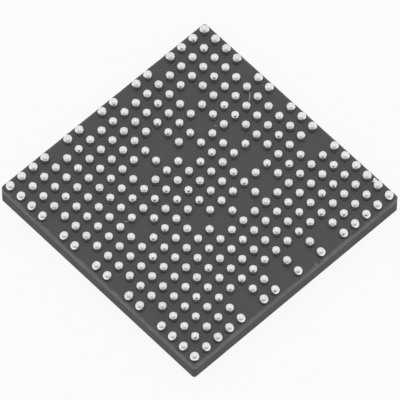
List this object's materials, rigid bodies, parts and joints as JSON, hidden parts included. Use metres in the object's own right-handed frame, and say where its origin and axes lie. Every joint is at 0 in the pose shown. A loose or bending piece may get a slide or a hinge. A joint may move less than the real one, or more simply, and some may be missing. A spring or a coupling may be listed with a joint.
{
  "type": "ball grid array chip",
  "caption": "Square fine-pitch ball grid array package, ball side up: a moulded back, a thin laminate substrate under dark solder mask, and rows of solder balls.",
  "frame": {"origin": "middle of the flat moulded back, on the surface that the chip lies on", "axes": "+Z out of the ball side, +Y towards row A, +X towards column 1, so ball A1 is in the +X +Y corner"},
  "size_m": [0.009, 0.009, 0.001],
  "materials": {
    "mould_compound": "matte",
    "silicon": "polished",
    "film_adhesive": "satin",
    "gold_wire": "polished",
    "gold_plating": "satin",
    "copper": "satin",
    "solder_mask": "satin",
    "laminate": "matte",
    "solder": "polished"
  },
  "bodies": {
    "root": {"mould_cap": "mould_compound", "silicon_die": "silicon", "die_attach_film": "film_adhesive", "bond_wires_right": "gold_wire", "bond_wires_back": "gold_wire", "bond_wires_left": "gold_wire", "bond_wires_front": "gold_wire", "bond_fingers": "gold_plating", "ground_plane": "copper", "corner_pads": "copper", "die_side_mask": "solder_mask", "substrate_core": "laminate", "plated_vias": "copper", "ball_lands": "copper", "ball_side_mask": "solder_mask", "pin_one_mark": "gold_plating", "balls_row_a": "solder", "balls_row_b": "solder", "balls_row_c": "solder", "balls_row_d": "solder", "balls_row_e": "solder", "balls_row_f": "solder", "balls_row_g": "solder", "balls_row_h": "solder", "balls_row_j": "solder", "balls_row_k": "solder", "balls_row_l": "solder", "balls_row_m": "solder", "balls_row_n": "solder", "balls_row_p": "solder", "balls_row_r": "solder", "balls_row_t": "solder", "balls_row_u": "solder", "balls_row_v": "solder"}
  },
  "joints": []
}
